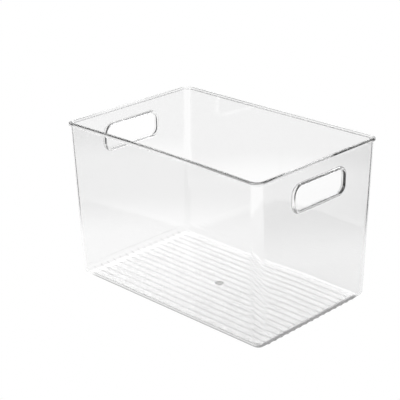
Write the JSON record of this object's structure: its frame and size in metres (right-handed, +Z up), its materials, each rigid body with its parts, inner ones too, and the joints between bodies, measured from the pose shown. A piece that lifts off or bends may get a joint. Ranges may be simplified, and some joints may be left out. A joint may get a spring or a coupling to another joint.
{
  "type": "fridge bin",
  "caption": "Clear open-topped storage bin with drafted walls, a ribbed floor, an outward rim and a collared finger slot in each short end.",
  "frame": {"origin": "on the surface that the bin stands on, under the middle of its outline", "axes": "+X along the length to the right end, +Y across the width to the back wall, +Z up"},
  "size_m": [0.305, 0.203, 0.197],
  "materials": {
    "wall": "clear, polished",
    "rim": "clear, polished",
    "collar": "clear, polished"
  },
  "bodies": {
    "root": {"floor_pan": "wall", "back_wall": "wall", "front_wall": "wall", "right_end_wall": "wall", "left_end_wall": "wall", "corner_back_right": "wall", "corner_back_left": "wall", "corner_front_left": "wall", "corner_front_right": "wall", "right_handle_collar": "collar", "left_handle_collar": "collar", "rim_bead": "rim"}
  },
  "joints": []
}
